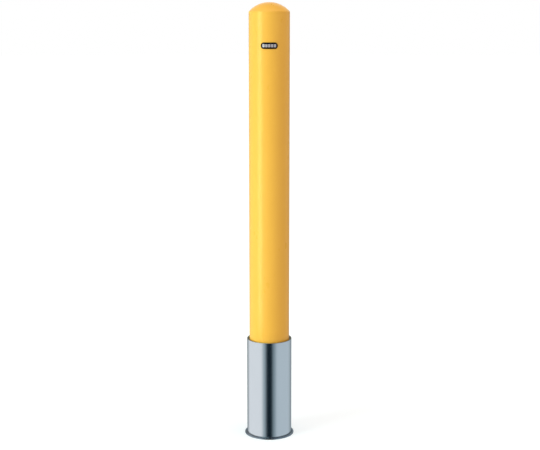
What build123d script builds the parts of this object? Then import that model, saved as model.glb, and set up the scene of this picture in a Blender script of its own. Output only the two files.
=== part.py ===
from build123d import *
import math
import os

# Removable bollard: a painted tube post that drops into a sleeve set in the ground.
# Millimetres. The origin is on the post's axis at ground level, +Z is up, and the badge faces -Y.

# Post
post_diameter = 101.6
post_wall = 3.2
height_above_ground = 850.0
foot_lead = 1.5

# Dome, pressed from the gauge of the post's wall and butt-welded to its top
dome_rise = 23.0
knuckle_radius = 1.0

# Badge, its length measured round the post and its drop from the dome's crease to its centre
badge_length = 42.0
badge_height = 15.6
badge_thickness = 1.2
badge_drop = 82.0
badge_edge_break = 0.35
badge_end_flat = 0.1
adhesive_film = 0.1

# Plain raised bars on the badge
bar_count = 5
bar_band_length = 33.0
bar_height = 7.4
bar_gap = 1.4
bar_relief = 0.35

# Sleeve that stays in the ground
sleeve_depth = 250.0
sleeve_wall = 3.0
rim_break = 0.4
base_thickness = 3.0
base_ledge = 5.75
base_edge_break = 0.4
drain_diameter = 30.0
weld_leg = 2.0

# Guide rings between the sleeve and the post
guide_thickness = 3.0
guide_clearance = 0.35
guide_seat_gap = 0.05
upper_guide_recess = 5.0
upper_guide_height = 30.0
lower_guide_height = 20.0

# Pin across the foot of the sleeve, and the notches in the post that drop over it
pin_diameter = 12.0
pin_center_height = 15.0
pin_end_gap = 0.05
notch_clearance = 0.75

# Radii that follow
post_radius = post_diameter / 2
post_bore_radius = post_radius - post_wall
guide_bore_radius = post_radius + guide_clearance
sleeve_bore_radius = guide_bore_radius + guide_thickness
sleeve_radius = sleeve_bore_radius + sleeve_wall
base_radius = sleeve_radius + base_ledge
pin_radius = pin_diameter / 2
notch_radius = pin_radius + notch_clearance

# Heights that follow
floor_z = -sleeve_depth
crease_z = height_above_ground - dome_rise
badge_center_z = crease_z - badge_drop
pin_z = floor_z + pin_center_height

# The dome's outside is part of a sphere through its top and its crease, and its inside is concentric
crown_outer_radius = (post_radius**2 + dome_rise**2) / (2 * dome_rise)
crown_inner_radius = crown_outer_radius - post_wall
crown_center_z = height_above_ground - crown_outer_radius

# The seam is where the dome's inside meets the tube's bore
seam_z = crown_center_z + math.sqrt(crown_inner_radius**2 - post_bore_radius**2)


def wall_section(inner_radius, outer_radius, bottom_z, top_z):
    """Section of a round wall, beside the axis, on the open sketch."""
    with Locations((inner_radius, bottom_z)):
        Rectangle(outer_radius - inner_radius, top_z - bottom_z, align=Align.MIN)


def crown_sphere(radius, mode):
    """Sphere about the dome's centre, laid on its side so that its poles stay off the crown."""
    with Locations((0, 0, crown_center_z)):
        Sphere(radius, rotation=(90, 0, 0), mode=mode)


def front_section(arc_length, radius, offset=0.0):
    """Upright plane through the axis where an arc of this length starts, centred on the front plus offset."""
    start = math.degrees((offset - arc_length / 2) / radius) - 90
    return Plane.XZ.rotated((0, 0, start))


# Post tube: its foot is led in outside, and straddles the pin with two notches
with BuildPart() as post_tube:
    with BuildSketch(Plane.XZ):
        wall_section(post_bore_radius, post_radius, floor_z, seam_z)
    revolve(axis=Axis.Z)
    foot_rims = post_tube.edges().group_by(Axis.Z)[0]
    chamfer(foot_rims.sort_by(SortBy.LENGTH)[-1], foot_lead)
    with BuildSketch(Plane.YZ):
        with Locations((0, pin_z)):
            Circle(notch_radius)
            Rectangle(2 * notch_radius, 2 * pin_center_height, align=(Align.CENTER, Align.MAX))
    extrude(amount=2 * post_radius, both=True, mode=Mode.SUBTRACT)
post_tube.part.label = "post_tube"

# Dome cap: one pressed wall, with a knuckle where the crown turns down to the tube
with BuildPart() as dome_cap:
    with Locations((0, 0, seam_z)):
        Cylinder(post_radius, 2 * dome_rise, align=(Align.CENTER, Align.CENTER, Align.MIN))
    crown_sphere(crown_outer_radius, Mode.INTERSECT)
    crease = dome_cap.edges().filter_by(GeomType.CIRCLE).sort_by(Axis.Z)[-1]
    fillet(crease, knuckle_radius)
    crown_sphere(crown_inner_radius, Mode.SUBTRACT)
dome_cap.part.label = "dome_cap"

# Badge: a round-ended plate rolled to the post, with a row of plain raised bars
badge_back_radius = post_radius + adhesive_film
badge_front_radius = badge_back_radius + badge_thickness
badge_low_z = badge_center_z - badge_height / 2
badge_high_z = badge_center_z + badge_height / 2

with BuildPart() as badge:
    with BuildSketch(front_section(badge_length, post_radius)):
        wall_section(badge_back_radius, badge_front_radius, badge_low_z, badge_high_z)
    revolve(axis=Axis.Z, revolution_arc=math.degrees(badge_length / post_radius))
    corners = badge.edges().filter_by(GeomType.LINE).filter_by(Axis.Z, reverse=True)
    fillet(corners, badge_height / 2 - badge_end_flat)
    front_face = badge.faces().filter_by(GeomType.CYLINDER).sort_by(SortBy.AREA)[-1]
    chamfer(front_face.edges(), badge_edge_break)

    bar_length = (bar_band_length - (bar_count - 1) * bar_gap) / bar_count
    for bar in range(bar_count):
        offset = (bar - (bar_count - 1) / 2) * (bar_length + bar_gap)
        with BuildSketch(front_section(bar_length, post_radius, offset)):
            with Locations((badge_front_radius, badge_center_z)):
                Rectangle(2 * bar_relief, bar_height)
        revolve(axis=Axis.Z, revolution_arc=math.degrees(bar_length / post_radius))
badge.part.label = "badge"

# Sleeve tube: its rim is flush with the ground, and its foot is bevelled outside for the weld
with BuildPart() as sleeve_tube:
    with BuildSketch(Plane.XZ):
        wall_section(sleeve_bore_radius, sleeve_radius, floor_z, 0)
    revolve(axis=Axis.Z)
    chamfer(sleeve_tube.edges().group_by(Axis.Z)[-1], rim_break)
    sleeve_foot = sleeve_tube.edges().group_by(Axis.Z)[0].sort_by(SortBy.LENGTH)[-1]
    chamfer(sleeve_foot, weld_leg)
sleeve_tube.part.label = "sleeve_tube"

# Base plate: closes the sleeve, carries the post's foot, and drains through its middle
with BuildPart() as base_plate:
    with Locations((0, 0, floor_z)):
        Cylinder(base_radius, base_thickness, align=(Align.CENTER, Align.CENTER, Align.MAX))
        Hole(drain_diameter / 2)
    base_rims = base_plate.edges().filter_by(GeomType.CIRCLE).filter_by(lambda rim: rim.radius > sleeve_radius)
    chamfer(base_rims.sort_by(Axis.Z)[-1], base_edge_break)
base_plate.part.label = "base_plate"

# Weld that fills the bevel on the sleeve's foot and stands out on the base plate's ledge
with BuildPart() as base_weld:
    with BuildSketch(Plane.XZ):
        root = (sleeve_radius - weld_leg, floor_z)
        toe = (sleeve_radius + weld_leg, floor_z)
        top = (sleeve_radius, floor_z + weld_leg)
        Polygon(root, toe, top, align=None)
    revolve(axis=Axis.Z)
base_weld.part.label = "base_weld"


def guide_ring(bottom_z, top_z):
    """Plain ring between the sleeve and the post; the lead on the post's foot finds its bore."""
    with BuildPart() as ring:
        with BuildSketch(Plane.XZ):
            wall_section(guide_bore_radius, sleeve_bore_radius - guide_seat_gap, bottom_z, top_z)
        revolve(axis=Axis.Z)
    return ring.part


# Guide rings: one near the mouth, one lying on the pin
upper_guide_ring = guide_ring(-upper_guide_recess - upper_guide_height, -upper_guide_recess)
upper_guide_ring.label = "upper_guide_ring"
lower_guide_ring = guide_ring(pin_z + pin_radius, pin_z + pin_radius + lower_guide_height)
lower_guide_ring.label = "lower_guide_ring"

# Locating pin: a bar welded across the sleeve, its ends cut to the sleeve's bore
with BuildPart() as locating_pin:
    with BuildSketch(Plane.YZ):
        with Locations((0, pin_z)):
            Circle(pin_radius)
    extrude(amount=sleeve_bore_radius, both=True)
    with Locations((0, 0, pin_z)):
        Cylinder(sleeve_bore_radius - pin_end_gap, 2 * pin_diameter, mode=Mode.INTERSECT)
locating_pin.part.label = "locating_pin"

os.makedirs("parts", exist_ok=True)
nodes = [
    post_tube.part,
    dome_cap.part,
    badge.part,
    sleeve_tube.part,
    base_plate.part,
    base_weld.part,
    upper_guide_ring,
    lower_guide_ring,
    locating_pin.part,
]
for node in nodes:
    export_step(node, f"parts/{node.label}.step")
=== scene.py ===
import math

import bpy
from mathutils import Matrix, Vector


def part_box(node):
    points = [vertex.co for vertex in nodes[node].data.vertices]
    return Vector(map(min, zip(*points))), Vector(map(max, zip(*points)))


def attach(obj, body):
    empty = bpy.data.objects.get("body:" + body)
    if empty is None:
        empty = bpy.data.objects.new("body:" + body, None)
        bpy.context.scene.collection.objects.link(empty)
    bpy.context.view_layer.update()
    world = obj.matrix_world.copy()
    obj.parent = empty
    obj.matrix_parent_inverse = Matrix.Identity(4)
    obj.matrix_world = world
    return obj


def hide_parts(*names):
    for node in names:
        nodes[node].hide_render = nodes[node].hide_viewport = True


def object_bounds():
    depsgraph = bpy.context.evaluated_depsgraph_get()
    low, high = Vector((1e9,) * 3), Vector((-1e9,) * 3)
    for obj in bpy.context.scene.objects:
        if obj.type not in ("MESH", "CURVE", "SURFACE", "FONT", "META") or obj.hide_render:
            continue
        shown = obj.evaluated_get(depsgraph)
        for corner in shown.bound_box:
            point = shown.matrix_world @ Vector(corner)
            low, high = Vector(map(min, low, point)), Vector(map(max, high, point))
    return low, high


# Removable bollard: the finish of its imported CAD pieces, and a weld bead round the sleeve's foot.
# Metres. The origin is on the post's axis at ground level, +Z is up, and the badge faces -Y.

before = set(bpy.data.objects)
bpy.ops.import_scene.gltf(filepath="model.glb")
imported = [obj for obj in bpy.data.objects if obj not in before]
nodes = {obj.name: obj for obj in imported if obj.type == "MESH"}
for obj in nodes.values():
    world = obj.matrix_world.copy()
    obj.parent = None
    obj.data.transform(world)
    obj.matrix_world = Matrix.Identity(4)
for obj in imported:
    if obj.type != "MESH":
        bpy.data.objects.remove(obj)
cad_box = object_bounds()

# Camera, a little below the height of the post's top and tilted down
camera_distance = 3.0
camera_height = 0.818
camera_aside = 0.0018
camera_tilt = math.radians(9.9)
focal_pixels = 1202.0
image_width_pixels = 540
sensor_width_mm = 36.0

# Light tent that only reflections see: colour by azimuth, 0 towards the camera and 90 to its right
tent_radius = 3.0
tent_columns = 180
bright_side = (0.87, 0.88, 0.90)
cool_side = (0.54, 0.61, 0.66)
bright_turn = (0.34, 0.42, 0.46)
cool_turn = (0.24, 0.31, 0.345)
dark_front = (0.002, 0.010, 0.018)
dim_edge = (0.29, 0.33, 0.35)
dark_back = (0.09, 0.13, 0.155)
tent_colours = (
    (-180, dark_back),
    (-152, dim_edge),
    (-120, bright_side),
    (-44, bright_side),
    (-25, bright_turn),
    (-10, dark_front),
    (10, dark_front),
    (24, cool_turn),
    (42, cool_side),
    (112, cool_side),
    (152, dim_edge),
    (180, dark_back),
)

# The tent's levels: a height, and the share by which the dark front widens there, out to the reach
tent_levels = ((-12.0, 0.0), (1.8, 0.0), (4.0, 0.6), (12.0, 0.75))
tent_spread_reach = 90

# Bright patch high behind the object, which the base plate's ledge reflects at both of its sides
back_radius = 2.9
back_azimuth = 180
back_half_width = 60
back_colour = (1.0, 1.0, 1.0)
back_columns = 60
back_levels = ((0.8, 0.0), (1.1, 1.0), (3.0, 1.0), (4.5, 0.0))

# Narrow bright strip, close to the post and above the rim: the post reflects it and the sleeve doesn't
strip_radius = 0.15
strip_azimuth = -45.5
strip_half_width = 12.5
strip_colour = (6.5, 8.4, 7.6)
strip_columns = 24
strip_rows = 30
strip_foot_z = 0.002
strip_full_z = 0.012
strip_top_z = 1.3

# Lamps and fill, which light the object but stay out of its reflections
key_azimuth = math.radians(-56)
key_distance = 2.3
key_width = 1.2
key_height = 1.4
key_center_z = 0.45
key_watts = 39.5
key_colour = (0.88, 1.0, 1.0)
top_place = (0.6, -0.2, 2.9)
top_width = 1.2
top_watts = 17.0
top_colour = (1.0, 0.92, 0.85)
fill_colour = (0.75, 0.60, 0.60, 1)
white = (1, 1, 1, 1)

# Floor: what it sends to the object, and what the camera sees of its shadow and its glow
floor_radius = 30.0
floor_sides = 96
floor_albedo = 0.75
floor_seen_share = (0.66, 0.80, 0.80, 1)
floor_glow_near = 0.40
floor_glow_far = 0.57
floor_near_radius = 0.2
floor_far_radius = 1.4

# Weld bead, within the CAD solid's own box
bead_ripples = 250
bead_columns_per_ripple = 5
bead_rows = 8
bead_hollow = 0.00022
bead_ripple_height = 0.00009
bead_crescent = 1.1

# Height of the badge's bars, as in the CAD model
bar_relief = 0.00035

# Nearly all of a noise lies between these values
noise_low = 0.3
noise_high = 0.7

# Stretch of a noise that is as fine along each axis
unstretched = (1, 1, 1)

# Places of a Mix node's colour sockets
mix_factor = 0
mix_first = 6
mix_second = 7
mix_result = 2


def feed(tree, made, inputs):
    """Sets a node's inputs to values, or links them to other nodes' outputs."""
    for name, value in inputs.items():
        if isinstance(value, bpy.types.NodeSocket):
            tree.links.new(value, made.inputs[name])
        else:
            made.inputs[name].default_value = value


def node(tree, kind, inputs=None, **settings):
    """New shader node with these inputs and settings."""
    made = tree.nodes.new(kind)
    for name, value in settings.items():
        setattr(made, name, value)
    feed(tree, made, inputs or {})
    return made


def new_material(name):
    """Material with a Principled shader, its node tree and that shader."""
    material = bpy.data.materials.new(name)
    material.use_nodes = True
    tree = material.node_tree
    return material, tree, tree.nodes["Principled BSDF"]


def blank_material(name):
    """Stage material with an empty node tree, and that tree."""
    material, tree, _ = new_material(name)
    tree.nodes.clear()
    return material, tree


def new_object(name, data):
    """Object in the scene with this data."""
    made = bpy.data.objects.new(name, data)
    bpy.context.scene.collection.objects.link(made)
    return made


def stretched_noise(tree, stretch, scale, detail=3.0, roughness=0.5):
    """Noise in the object's own space, finer along the axes with the larger stretch."""
    place = node(tree, "ShaderNodeTexCoord")
    mapping = node(tree, "ShaderNodeMapping", {"Vector": place.outputs["Object"], "Scale": stretch})
    inputs = {"Vector": mapping.outputs["Vector"], "Scale": scale, "Detail": detail, "Roughness": roughness}
    return node(tree, "ShaderNodeTexNoise", inputs).outputs["Fac"]


def ranged(tree, value, low, high, new_low, new_high, kind="LINEAR"):
    """Value between low and high, taken to the new range and kept within it."""
    inputs = {"Value": value, "From Min": low, "From Max": high, "To Min": new_low, "To Max": new_high}
    return node(tree, "ShaderNodeMapRange", inputs, interpolation_type=kind).outputs["Result"]


def varied(tree, noise, least, most):
    """Noise taken to values between least and most."""
    return ranged(tree, noise, noise_low, noise_high, least, most)


def calculated(tree, operation, first, second):
    """Result of a math operation on two values."""
    return node(tree, "ShaderNodeMath", {0: first, 1: second}, operation=operation).outputs["Value"]


def product(tree, first, second):
    """First times second."""
    return calculated(tree, "MULTIPLY", first, second)


def total(tree, first, second):
    """First plus second."""
    return calculated(tree, "ADD", first, second)


def blended(tree, factor, first, second):
    """Colour between first and second."""
    inputs = {mix_factor: factor, mix_first: first, mix_second: second}
    return node(tree, "ShaderNodeMix", inputs, data_type="RGBA").outputs[mix_result]


def bump(tree, height, distance, strength):
    """Normal that a height field gives, with a depth of distance."""
    inputs = {"Height": height, "Distance": distance, "Strength": strength}
    return node(tree, "ShaderNodeBump", inputs).outputs["Normal"]


def object_height(tree):
    """Height above ground level in the object's own space."""
    place = node(tree, "ShaderNodeTexCoord")
    return node(tree, "ShaderNodeSeparateXYZ", {"Vector": place.outputs["Object"]}).outputs["Z"]


def axis_distance(tree):
    """Distance from the post's axis in the object's own space."""
    place = node(tree, "ShaderNodeTexCoord")
    level = {0: place.outputs["Object"], 1: (1, 1, 0)}
    flat = node(tree, "ShaderNodeVectorMath", level, operation="MULTIPLY")
    length = node(tree, "ShaderNodeVectorMath", {0: flat.outputs["Vector"]}, operation="LENGTH")
    return length.outputs["Value"]


def paint_material(foot_z):
    """Smooth yellow paint: faint orange peel, rubbed by the guide rings and chipped at the foot."""
    material, tree, shader = new_material("yellow_paint")
    fresh = (0.865, 0.520, 0.070, 1)
    deeper = (0.855, 0.508, 0.065, 1)
    rubbed = (0.74, 0.46, 0.12, 1)
    primer = (0.20, 0.19, 0.18, 1)
    height = object_height(tree)

    drift = stretched_noise(tree, (1, 1, 0.5), 7.0)
    painted = blended(tree, ranged(tree, drift, 0.35, 0.65, 0.0, 1.0), fresh, deeper)

    rub_fade = 0.012
    rub_dulling = 0.25
    streaks = stretched_noise(tree, (60, 60, 1.5), 5.0, 4.0, 0.65)
    streaked = ranged(tree, streaks, 0.52, 0.66, 0.0, 1.0)
    rubbing = product(tree, streaked, ranged(tree, height, -rub_fade, 0.0, 1.0, 0.0))
    scuffed = blended(tree, rubbing, painted, rubbed)

    chip_top = foot_z + 0.012
    chip_fade = 0.002
    share_at_foot = 0.75
    share_at_top = 0.15
    chips = stretched_noise(tree, unstretched, 160.0, 5.0, 0.6)
    chip_share = ranged(tree, height, foot_z, chip_top, share_at_foot, share_at_top)
    near_foot = ranged(tree, height, chip_top - chip_fade, chip_top + chip_fade, 1.0, 0.0)
    bare = product(tree, calculated(tree, "GREATER_THAN", chip_share, chips), near_foot)

    gloss = varied(tree, stretched_noise(tree, (1, 1, 0.4), 40.0), 0.27, 0.31)
    peel = stretched_noise(tree, unstretched, 420.0, 2.0)
    inputs = {
        "Base Color": blended(tree, bare, scuffed, primer),
        "Roughness": total(tree, gloss, product(tree, rubbing, rub_dulling)),
        "Specular IOR Level": 0.25,
        "Normal": bump(tree, peel, 0.00004, 0.08),
    }
    feed(tree, shader, inputs)
    return material


def tube_material():
    """Belt-polished stainless tube: fine lines round it, slightly cloudy, and dull at its rim, where
    painted shade darkens the colour.
    """
    material, tree, shader = new_material("stainless")
    light = (0.735, 0.785, 0.825, 1)
    dark = (0.690, 0.742, 0.785, 1)
    # Painted shade: this dark colour on the rim's top stands in for the shadow in the gap round the post
    rim_painted_shade = (0.27, 0.30, 0.25, 1)
    rim_band = (-0.0007, -0.0003)
    rim_dulling = 0.3
    on_rim = ranged(tree, object_height(tree), *rim_band, 0.0, 1.0)
    cloud = stretched_noise(tree, (1, 1, 0.6), 14.0, 4.0)
    lines = stretched_noise(tree, (1, 1, 160), 12.0, 5.0, 0.7)
    satin = varied(tree, lines, 0.17, 0.23)
    inputs = {
        "Base Color": blended(tree, on_rim, blended(tree, cloud, light, dark), rim_painted_shade),
        "Metallic": 1.0,
        "Roughness": total(tree, satin, product(tree, on_rim, rim_dulling)),
        "Normal": bump(tree, lines, 0.00001, 0.12),
    }
    feed(tree, shader, inputs)
    return material


def plate_material(ledge_z):
    """Mill-finish plate and bar: darker and mottled, and duller above the plate's turned edge."""
    material, tree, shader = new_material("stainless_plate")
    light = (0.31, 0.37, 0.42, 1)
    dark = (0.22, 0.27, 0.32, 1)
    ledge_band = (ledge_z - 0.0003, ledge_z - 0.0001)
    ledge_dulling = 0.1
    on_ledge = ranged(tree, object_height(tree), *ledge_band, 0.0, ledge_dulling)
    mottle = stretched_noise(tree, unstretched, 90.0, 5.0, 0.6)
    grain = stretched_noise(tree, (1, 8, 1), 260.0, 3.0)
    inputs = {
        "Base Color": blended(tree, mottle, light, dark),
        "Metallic": 1.0,
        "Roughness": total(tree, varied(tree, mottle, 0.12, 0.22), on_ledge),
        "Normal": bump(tree, grain, 0.00003, 0.3),
    }
    feed(tree, shader, inputs)
    return material


def bead_material():
    """Weld bead: dark bright metal, faintly tinted straw and blue by the heat in patches."""
    material, tree, shader = new_material("weld_bead")
    straw = (0.19, 0.20, 0.20, 1)
    blue = (0.12, 0.155, 0.195, 1)
    patches = stretched_noise(tree, unstretched, 45.0, 3.0)
    grain = stretched_noise(tree, unstretched, 900.0, 2.0)
    inputs = {
        "Base Color": blended(tree, ranged(tree, patches, 0.4, 0.6, 0.0, 1.0), straw, blue),
        "Metallic": 1.0,
        "Roughness": varied(tree, patches, 0.10, 0.18),
        "Normal": bump(tree, grain, 0.00002, 0.4),
    }
    feed(tree, shader, inputs)
    return material


def badge_material(face_radius):
    """Gloss black plate whose raised bars are bright: everything further out than the plate's face."""
    material, tree, shader = new_material("badge_black")
    blacks = (0.003, 0.003, 0.004, 1), (0.006, 0.006, 0.007, 1)
    silvers = (0.46, 0.46, 0.48, 1), (0.58, 0.58, 0.60, 1)
    bars_from = face_radius + 0.00012
    bars_blend = 0.00003
    bars_metallic = 0.4
    on_bars = ranged(tree, axis_distance(tree), bars_from - bars_blend, bars_from + bars_blend, 0.0, 1.0)
    speck = stretched_noise(tree, unstretched, 500.0, 3.0)
    brushing = stretched_noise(tree, (6, 6, 90), 60.0, 4.0)
    black = blended(tree, speck, *blacks)
    silver = blended(tree, brushing, *silvers)
    smooth = varied(tree, speck, 0.14, 0.22)
    satin = varied(tree, brushing, 0.12, 0.26)
    inputs = {
        "Base Color": blended(tree, on_bars, black, silver),
        "Metallic": product(tree, on_bars, bars_metallic),
        "Roughness": total(tree, smooth, product(tree, on_bars, satin)),
        "Specular IOR Level": 0.08,
        "Normal": bump(tree, brushing, 0.00001, 0.2),
    }
    feed(tree, shader, inputs)
    return material


def plastic_material():
    """Dark machined plastic: faint turning lines and a waxy sheen."""
    material, tree, shader = new_material("guide_plastic")
    dark = (0.20, 0.205, 0.21, 1)
    light = (0.26, 0.265, 0.27, 1)
    haze = stretched_noise(tree, unstretched, 60.0, 4.0)
    turning = stretched_noise(tree, (1, 1, 60), 25.0, 3.0)
    inputs = {
        "Base Color": blended(tree, haze, dark, light),
        "Roughness": varied(tree, turning, 0.42, 0.56),
        "Normal": bump(tree, turning, 0.00004, 0.4),
    }
    feed(tree, shader, inputs)
    return material


def dress(names, material):
    """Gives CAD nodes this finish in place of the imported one."""
    for name in names:
        for slot in nodes[name].material_slots:
            slot.material = material


def ring_object(name, section_at, columns):
    """Closed ring: section_at gives the section's points, as radius and height, at each angle."""
    vertices = []
    for column in range(columns):
        angle = 2 * math.pi * column / columns
        for radius, height in section_at(angle):
            vertices.append((radius * math.cos(angle), radius * math.sin(angle), height))
    rows = len(vertices) // columns
    faces = []
    for column in range(columns):
        here = column * rows
        there = (column + 1) % columns * rows
        for row in range(rows):
            after = (row + 1) % rows
            faces.append((here + row, there + row, there + after, here + after))
    mesh = bpy.data.meshes.new(name)
    mesh.from_pydata(vertices, [], faces)
    mesh.update()
    return new_object(name, mesh)


def weld_bead():
    """Rippled bead that stands for the plain weld solid, with its root, toe and top where that has them."""
    low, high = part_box("base_weld")
    toe_radius = high.x
    leg = high.z - low.z
    root_radius = toe_radius - 2 * leg

    def section_at(angle):
        """Root, then the face from toe to top, sunk a little below the straight line between those."""
        points = [(root_radius, low.z)]
        for row in range(bead_rows + 1):
            along = row / bead_rows
            bow = 4 * along * (1 - along)
            phase = bead_ripples * angle + bead_crescent * math.pi * bow
            ripple = bead_ripple_height * bow * (0.5 + 0.5 * math.cos(phase))
            sink = (ripple - bead_hollow * bow) / math.sqrt(2)
            points.append((toe_radius - leg * along + sink, low.z + leg * along + sink))
        return points

    bead = ring_object("weld_bead", section_at, bead_ripples * bead_columns_per_ripple)
    for face in bead.data.polygons:
        face.use_smooth = True
    bead.data.materials.append(bead_material())
    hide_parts("base_weld")
    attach(bead, "sleeve")


def glow_material(name):
    """Stage material that glows in the mesh's own colours."""
    material, tree = blank_material(name)
    painted = node(tree, "ShaderNodeAttribute", attribute_name="glow")
    glow = node(tree, "ShaderNodeEmission", {"Color": painted.outputs["Color"]})
    node(tree, "ShaderNodeOutputMaterial", {"Surface": glow.outputs["Emission"]})
    return material


def tent_colour_at(azimuth, spread=0.0):
    """The tent's colour at this azimuth, smooth between the named ones; spread widens its dark front."""
    azimuth = (azimuth + 180) % 360 - 180
    azimuth *= 1 - spread * max(0.0, 1 - abs(azimuth) / tent_spread_reach)
    for (start, first), (end, second) in zip(tent_colours, tent_colours[1:]):
        if start <= azimuth <= end:
            along = (azimuth - start) / (end - start)
            return Vector(first).lerp(Vector(second), along * along * (3 - 2 * along))


def reflected_wall(name, radius, azimuths, columns, levels, colour_at):
    """Upright part-cylinder that only reflections see; each level is a height and a share for colour_at."""
    vertices, faces, colours = [], [], []
    start, end = azimuths
    for column in range(columns + 1):
        azimuth = start + (end - start) * column / columns
        angle = math.radians(azimuth)
        for height, share in levels:
            vertices.append((radius * math.sin(angle), -radius * math.cos(angle), height))
            colours.append(colour_at(azimuth, share))
    for column in range(columns):
        for level in range(len(levels) - 1):
            here = column * len(levels) + level
            there = here + len(levels)
            faces.append((here, there, there + 1, here + 1))
    mesh = bpy.data.meshes.new(name)
    mesh.from_pydata(vertices, [], faces)
    painted = mesh.color_attributes.new("glow", "FLOAT_COLOR", "POINT")
    for place, colour in enumerate(colours):
        painted.data[place].color = (*colour, 1)
    mesh.materials.append(glow_material(name))
    wall = new_object(name, mesh)
    wall.visible_camera = False
    wall.visible_diffuse = False
    wall.visible_transmission = False
    wall.visible_shadow = False


def bright_patch(name, radius, centre, half_width, colour, columns, levels):
    """Wall before the tent: this colour in its middle, and the tent's own at its ends or a share of 0."""

    def colour_at(azimuth, share):
        """Colour that falls off smoothly from the middle to both ends."""
        away = abs(azimuth - centre) / half_width
        return tent_colour_at(azimuth).lerp(Vector(colour), share * max(0.0, 1 - away * away) ** 2)

    reflected_wall(name, radius, (centre - half_width, centre + half_width), columns, levels, colour_at)


def make_floor(floor_z):
    """Pale floor: white to the camera, with a glow that leaves room for a soft shadow near the post."""
    material, tree = blank_material("floor")
    glow_range = (floor_near_radius, floor_far_radius, floor_glow_near, floor_glow_far)
    strength = ranged(tree, axis_distance(tree), *glow_range, kind="SMOOTHSTEP")
    glow = node(tree, "ShaderNodeEmission", {"Strength": strength})
    faint = node(tree, "ShaderNodeBsdfDiffuse", {"Color": floor_seen_share})
    seen = node(tree, "ShaderNodeAddShader", {0: faint.outputs["BSDF"], 1: glow.outputs["Emission"]})
    matt = node(tree, "ShaderNodeBsdfDiffuse", {"Color": (floor_albedo, floor_albedo, floor_albedo, 1)})
    path = node(tree, "ShaderNodeLightPath")
    shares = {0: path.outputs["Is Camera Ray"], 1: matt.outputs["BSDF"], 2: seen.outputs["Shader"]}
    mix = node(tree, "ShaderNodeMixShader", shares)
    node(tree, "ShaderNodeOutputMaterial", {"Surface": mix.outputs["Shader"]})

    shape = {"vertices": floor_sides, "radius": floor_radius, "fill_type": "NGON"}
    bpy.ops.mesh.primitive_circle_add(location=(0, 0, floor_z), **shape)
    floor = bpy.context.object
    floor.name = "floor"
    floor.data.materials.append(material)
    floor.visible_glossy = False


def make_world():
    """White to the camera and in reflections, and a soft fill for everything else."""
    world = bpy.data.worlds.new("studio")
    bpy.context.scene.world = world
    world.use_nodes = True
    tree = world.node_tree
    tree.nodes.clear()
    path = node(tree, "ShaderNodeLightPath")
    seen = path.outputs["Is Camera Ray"]
    for ray in ("Is Glossy Ray", "Is Transmission Ray"):
        seen = calculated(tree, "MAXIMUM", seen, path.outputs[ray])
    background = node(tree, "ShaderNodeBackground", {"Color": blended(tree, seen, fill_colour, white)})
    node(tree, "ShaderNodeOutputWorld", {"Surface": background.outputs["Background"]})


def make_lamp(name, place, target, size, watts, colour):
    """Soft lamp of this width and height, aimed at the target; reflections see the tent in its place."""
    light = bpy.data.lights.new(name, "AREA")
    light.shape = "RECTANGLE"
    light.size, light.size_y = size
    light.energy = watts
    light.color = colour
    lamp = new_object(name, light)
    lamp.location = place
    lamp.rotation_euler = (Vector(target) - Vector(place)).to_track_quat("-Z", "Y").to_euler()
    lamp.visible_glossy = False
    lamp.visible_camera = False


def make_camera():
    """The photograph's view, with the whole height in the frame."""
    data = bpy.data.cameras.new("camera")
    data.sensor_width = sensor_width_mm
    data.lens = focal_pixels / image_width_pixels * sensor_width_mm
    camera = new_object("camera", data)
    camera.location = (camera_aside, -camera_distance, camera_height)
    camera.rotation_euler = (math.pi / 2 - camera_tilt, 0, 0)
    bpy.context.scene.camera = camera


# Finish of the CAD nodes. The post's foot stands on the base plate, level with the plate's ledge.
badge_reach = -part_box("badge")[0].y
ledge_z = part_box("base_plate")[1].z
dress(("post_tube", "dome_cap"), paint_material(ledge_z))
dress(("badge",), badge_material(badge_reach - bar_relief))
dress(("sleeve_tube",), tube_material())
dress(("base_plate", "locating_pin"), plate_material(ledge_z))
dress(("upper_guide_ring", "lower_guide_ring"), plastic_material())
weld_bead()

# Floor, fill and lamps
make_floor(cad_box[0].z)
make_world()
key_place = (key_distance * math.sin(key_azimuth), -key_distance * math.cos(key_azimuth), key_center_z)
make_lamp("key", key_place, (0, 0, key_center_z), (key_width, key_height), key_watts, key_colour)
make_lamp("top", top_place, (0, 0, cad_box[1].z), (top_width, top_width), top_watts, top_colour)

# What the object reflects
reflected_wall("tent", tent_radius, (-180, 180), tent_columns, tent_levels, tent_colour_at)
bright_patch("back", back_radius, back_azimuth, back_half_width, back_colour, back_columns, back_levels)
strip_step = (strip_top_z - strip_full_z) / strip_rows
strip_levels = [(strip_foot_z, 0.0)]
strip_levels += [(strip_full_z + row * strip_step, 1.0) for row in range(strip_rows + 1)]
strip_span = (strip_azimuth, strip_half_width)
bright_patch("strip", strip_radius, *strip_span, strip_colour, strip_columns, strip_levels)

# View
make_camera()
bpy.context.scene.view_settings.view_transform = "Standard"
